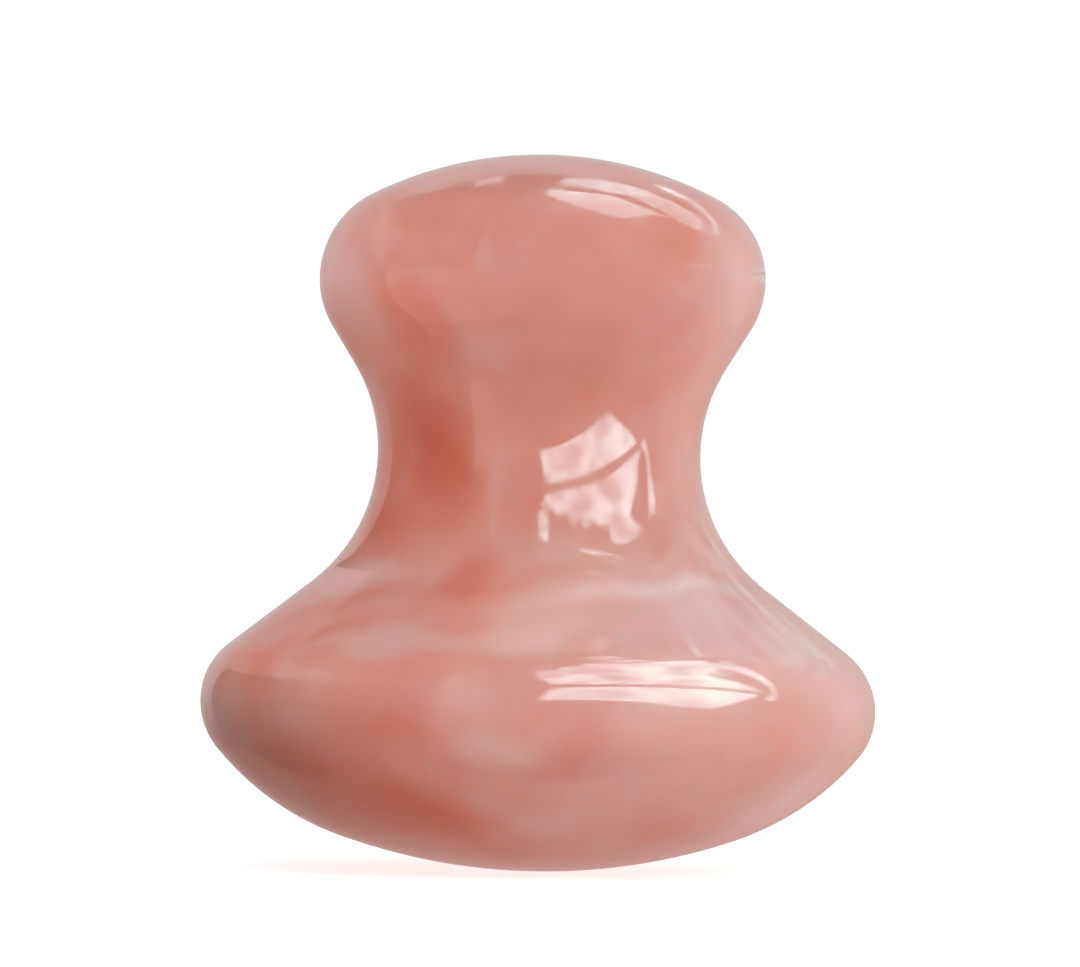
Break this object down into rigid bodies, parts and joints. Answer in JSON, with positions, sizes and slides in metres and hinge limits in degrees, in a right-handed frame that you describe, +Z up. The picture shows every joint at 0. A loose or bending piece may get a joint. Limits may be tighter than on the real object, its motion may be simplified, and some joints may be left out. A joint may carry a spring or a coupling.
{
  "type": "mushroom massage stone",
  "caption": "Mushroom-shaped polished stone massage tool with a small domed cap, a waisted neck to grip and a wide domed base that glides over the skin.",
  "frame": {"origin": "middle of the small resting flat under the domed base, on the stone's axis", "axes": "+Z up along the stone's axis, from the base to the cap; X and Y across, with the pictured side facing -Y"},
  "size_m": [0.038, 0.038, 0.0402],
  "materials": {
    "pink_stone": "high polish, slightly translucent, with cloudy white bands and deep coral patches"
  },
  "bodies": {
    "root": {"mushroom_stone": "pink_stone"}
  },
  "joints": []
}
